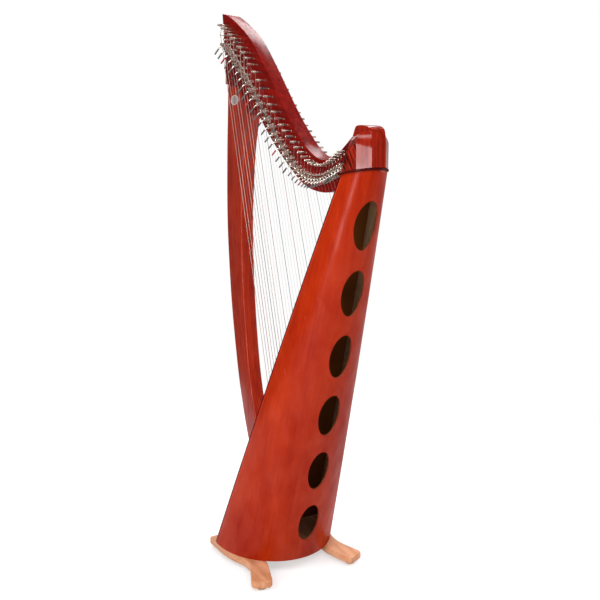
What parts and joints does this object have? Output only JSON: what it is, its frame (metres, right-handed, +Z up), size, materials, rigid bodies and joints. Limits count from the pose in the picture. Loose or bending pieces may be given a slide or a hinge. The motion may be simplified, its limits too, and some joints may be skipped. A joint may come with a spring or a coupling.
{
  "type": "lever harp",
  "caption": "Floor-standing lever harp with a vaulted soundbox, bowed pillar, curved neck, beech feet and a sharpening lever for each string.",
  "frame": {"origin": "on the floor, under the centre of the harp's outline", "axes": "+Z up, +X from the pillar towards the soundbox and the player, -Y to the player's left, where the levers are"},
  "size_m": [0.7518, 0.336, 1.5],
  "materials": {
    "red_wood": "satin red stain",
    "dark_red_wood": "glossy dark red stain",
    "beech": "satin clear varnish",
    "spruce": "bare",
    "string_rib": "satin",
    "nickel": "nickel plate",
    "lever_metal": "nickel plate",
    "lever_red": "red sleeve on nickel",
    "lever_black": "black sleeve on nickel"
  },
  "bodies": {
    "frame": {"base_board": "beech", "brace_lower": "spruce", "brace_upper": "spruce", "cap_plate": "dark_red_wood", "edge_strip_left": "dark_red_wood", "edge_strip_right": "dark_red_wood", "foot_rail_left": "beech", "foot_rail_right": "beech", "liner_left": "spruce", "liner_right": "spruce", "neck": "dark_red_wood", "pad_front_left": "beech", "pad_front_right": "beech", "pad_rear_left": "beech", "pad_rear_right": "beech", "pillar": "red_wood", "pillar_badge": "nickel", "pillar_bolt": "nickel", "shoulder_block": "dark_red_wood", "soundboard": "red_wood", "soundbox_shell": "red_wood", "string_bar": "beech", "strings_and_rib": "string_rib", "top_block": "beech"},
    "lever_01_body": {"lever_01": "lever_metal"},
    "lever_02_body": {"lever_02": "lever_metal"},
    "lever_03_body": {"lever_03": "lever_red"},
    "lever_04_body": {"lever_04": "lever_metal"},
    "lever_05_body": {"lever_05": "lever_metal"},
    "lever_06_body": {"lever_06": "lever_black"},
    "lever_07_body": {"lever_07": "lever_metal"},
    "lever_08_body": {"lever_08": "lever_metal"},
    "lever_09_body": {"lever_09": "lever_metal"},
    "lever_10_body": {"lever_10": "lever_red"},
    "lever_11_body": {"lever_11": "lever_metal"},
    "lever_12_body": {"lever_12": "lever_metal"},
    "lever_13_body": {"lever_13": "lever_black"},
    "lever_14_body": {"lever_14": "lever_metal"},
    "lever_15_body": {"lever_15": "lever_metal"},
    "lever_16_body": {"lever_16": "lever_metal"},
    "lever_17_body": {"lever_17": "lever_red"},
    "lever_18_body": {"lever_18": "lever_metal"},
    "lever_19_body": {"lever_19": "lever_metal"},
    "lever_20_body": {"lever_20": "lever_black"},
    "lever_21_body": {"lever_21": "lever_metal"},
    "lever_22_body": {"lever_22": "lever_metal"},
    "lever_23_body": {"lever_23": "lever_metal"},
    "lever_24_body": {"lever_24": "lever_red"},
    "lever_25_body": {"lever_25": "lever_metal"},
    "lever_26_body": {"lever_26": "lever_metal"},
    "lever_27_body": {"lever_27": "lever_black"},
    "lever_28_body": {"lever_28": "lever_metal"},
    "lever_29_body": {"lever_29": "lever_metal"},
    "lever_30_body": {"lever_30": "lever_metal"},
    "lever_31_body": {"lever_31": "lever_red"},
    "lever_32_body": {"lever_32": "lever_metal"},
    "lever_33_body": {"lever_33": "lever_metal"},
    "lever_34_body": {"lever_34": "lever_black"},
    "lever_35_body": {"lever_35": "lever_metal"},
    "lever_36_body": {"lever_36": "lever_metal"}
  },
  "joints": [
    {"name": "lever_01_turn", "type": "hinge", "parent": "frame", "child": "lever_01_body", "pos_m": [-0.33826, -0.03165, 1.41042], "axis": [0, 1, 0], "range_deg": [0, 75]},
    {"name": "lever_02_turn", "type": "hinge", "parent": "frame", "child": "lever_02_body", "pos_m": [-0.3174, -0.03165, 1.39635], "axis": [0, 1, 0], "range_deg": [0, 75]},
    {"name": "lever_03_turn", "type": "hinge", "parent": "frame", "child": "lever_03_body", "pos_m": [-0.29659, -0.03165, 1.38195], "axis": [0, 1, 0], "range_deg": [0, 75]},
    {"name": "lever_04_turn", "type": "hinge", "parent": "frame", "child": "lever_04_body", "pos_m": [-0.27562, -0.03165, 1.36638], "axis": [0, 1, 0], "range_deg": [0, 75]},
    {"name": "lever_05_turn", "type": "hinge", "parent": "frame", "child": "lever_05_body", "pos_m": [-0.25436, -0.03165, 1.34913], "axis": [0, 1, 0], "range_deg": [0, 75]},
    {"name": "lever_06_turn", "type": "hinge", "parent": "frame", "child": "lever_06_body", "pos_m": [-0.23317, -0.03165, 1.33163], "axis": [0, 1, 0], "range_deg": [0, 75]},
    {"name": "lever_07_turn", "type": "hinge", "parent": "frame", "child": "lever_07_body", "pos_m": [-0.21204, -0.03165, 1.31386], "axis": [0, 1, 0], "range_deg": [0, 75]},
    {"name": "lever_08_turn", "type": "hinge", "parent": "frame", "child": "lever_08_body", "pos_m": [-0.19091, -0.03165, 1.29556], "axis": [0, 1, 0], "range_deg": [0, 75]},
    {"name": "lever_09_turn", "type": "hinge", "parent": "frame", "child": "lever_09_body", "pos_m": [-0.16972, -0.03165, 1.27652], "axis": [0, 1, 0], "range_deg": [0, 75]},
    {"name": "lever_10_turn", "type": "hinge", "parent": "frame", "child": "lever_10_body", "pos_m": [-0.14854, -0.03165, 1.25701], "axis": [0, 1, 0], "range_deg": [0, 75]},
    {"name": "lever_11_turn", "type": "hinge", "parent": "frame", "child": "lever_11_body", "pos_m": [-0.12867, -0.03015, 1.23855], "axis": [0, 1, 0], "range_deg": [0, 75]},
    {"name": "lever_12_turn", "type": "hinge", "parent": "frame", "child": "lever_12_body", "pos_m": [-0.10772, -0.03015, 1.21892], "axis": [0, 1, 0], "range_deg": [0, 75]},
    {"name": "lever_13_turn", "type": "hinge", "parent": "frame", "child": "lever_13_body", "pos_m": [-0.08685, -0.03015, 1.1991], "axis": [0, 1, 0], "range_deg": [0, 75]},
    {"name": "lever_14_turn", "type": "hinge", "parent": "frame", "child": "lever_14_body", "pos_m": [-0.06614, -0.03015, 1.17942], "axis": [0, 1, 0], "range_deg": [0, 75]},
    {"name": "lever_15_turn", "type": "hinge", "parent": "frame", "child": "lever_15_body", "pos_m": [-0.04571, -0.03015, 1.16036], "axis": [0, 1, 0], "range_deg": [0, 75]},
    {"name": "lever_16_turn", "type": "hinge", "parent": "frame", "child": "lever_16_body", "pos_m": [-0.02602, -0.03015, 1.14379], "axis": [0, 1, 0], "range_deg": [0, 75]},
    {"name": "lever_17_turn", "type": "hinge", "parent": "frame", "child": "lever_17_body", "pos_m": [-0.00656, -0.03015, 1.12763], "axis": [0, 1, 0], "range_deg": [0, 75]},
    {"name": "lever_18_turn", "type": "hinge", "parent": "frame", "child": "lever_18_body", "pos_m": [0.01262, -0.03015, 1.11213], "axis": [0, 1, 0], "range_deg": [0, 75]},
    {"name": "lever_19_turn", "type": "hinge", "parent": "frame", "child": "lever_19_body", "pos_m": [0.0314, -0.03015, 1.09771], "axis": [0, 1, 0], "range_deg": [0, 75]},
    {"name": "lever_20_turn", "type": "hinge", "parent": "frame", "child": "lever_20_body", "pos_m": [0.04969, -0.03015, 1.08478], "axis": [0, 1, 0], "range_deg": [0, 75]},
    {"name": "lever_21_turn", "type": "hinge", "parent": "frame", "child": "lever_21_body", "pos_m": [0.06639, -0.02865, 1.07401], "axis": [0, 1, 0], "range_deg": [0, 75]},
    {"name": "lever_22_turn", "type": "hinge", "parent": "frame", "child": "lever_22_body", "pos_m": [0.08353, -0.02865, 1.06472], "axis": [0, 1, 0], "range_deg": [0, 75]},
    {"name": "lever_23_turn", "type": "hinge", "parent": "frame", "child": "lever_23_body", "pos_m": [0.09997, -0.02865, 1.05777], "axis": [0, 1, 0], "range_deg": [0, 75]},
    {"name": "lever_24_turn", "type": "hinge", "parent": "frame", "child": "lever_24_body", "pos_m": [0.11576, -0.02865, 1.05295], "axis": [0, 1, 0], "range_deg": [0, 75]},
    {"name": "lever_25_turn", "type": "hinge", "parent": "frame", "child": "lever_25_body", "pos_m": [0.13097, -0.02865, 1.04996], "axis": [0, 1, 0], "range_deg": [0, 75]},
    {"name": "lever_26_turn", "type": "hinge", "parent": "frame", "child": "lever_26_body", "pos_m": [0.14572, -0.02865, 1.04834], "axis": [0, 1, 0], "range_deg": [0, 75]},
    {"name": "lever_27_turn", "type": "hinge", "parent": "frame", "child": "lever_27_body", "pos_m": [0.16007, -0.02865, 1.04781], "axis": [0, 1, 0], "range_deg": [0, 75]},
    {"name": "lever_28_turn", "type": "hinge", "parent": "frame", "child": "lever_28_body", "pos_m": [0.17402, -0.02865, 1.04841], "axis": [0, 1, 0], "range_deg": [0, 75]},
    {"name": "lever_29_turn", "type": "hinge", "parent": "frame", "child": "lever_29_body", "pos_m": [0.18757, -0.02865, 1.05011], "axis": [0, 1, 0], "range_deg": [0, 75]},
    {"name": "lever_30_turn", "type": "hinge", "parent": "frame", "child": "lever_30_body", "pos_m": [0.20079, -0.02865, 1.05261], "axis": [0, 1, 0], "range_deg": [0, 75]},
    {"name": "lever_31_turn", "type": "hinge", "parent": "frame", "child": "lever_31_body", "pos_m": [0.21374, -0.02865, 1.05573], "axis": [0, 1, 0], "range_deg": [0, 75]},
    {"name": "lever_32_turn", "type": "hinge", "parent": "frame", "child": "lever_32_body", "pos_m": [0.22643, -0.02865, 1.05939], "axis": [0, 1, 0], "range_deg": [0, 75]},
    {"name": "lever_33_turn", "type": "hinge", "parent": "frame", "child": "lever_33_body", "pos_m": [0.23889, -0.02865, 1.06347], "axis": [0, 1, 0], "range_deg": [0, 75]},
    {"name": "lever_34_turn", "type": "hinge", "parent": "frame", "child": "lever_34_body", "pos_m": [0.25117, -0.02865, 1.06773], "axis": [0, 1, 0], "range_deg": [0, 75]},
    {"name": "lever_35_turn", "type": "hinge", "parent": "frame", "child": "lever_35_body", "pos_m": [0.26332, -0.02865, 1.07204], "axis": [0, 1, 0], "range_deg": [0, 75]},
    {"name": "lever_36_turn", "type": "hinge", "parent": "frame", "child": "lever_36_body", "pos_m": [0.27535, -0.02865, 1.0763], "axis": [0, 1, 0], "range_deg": [0, 75]}
  ]
}
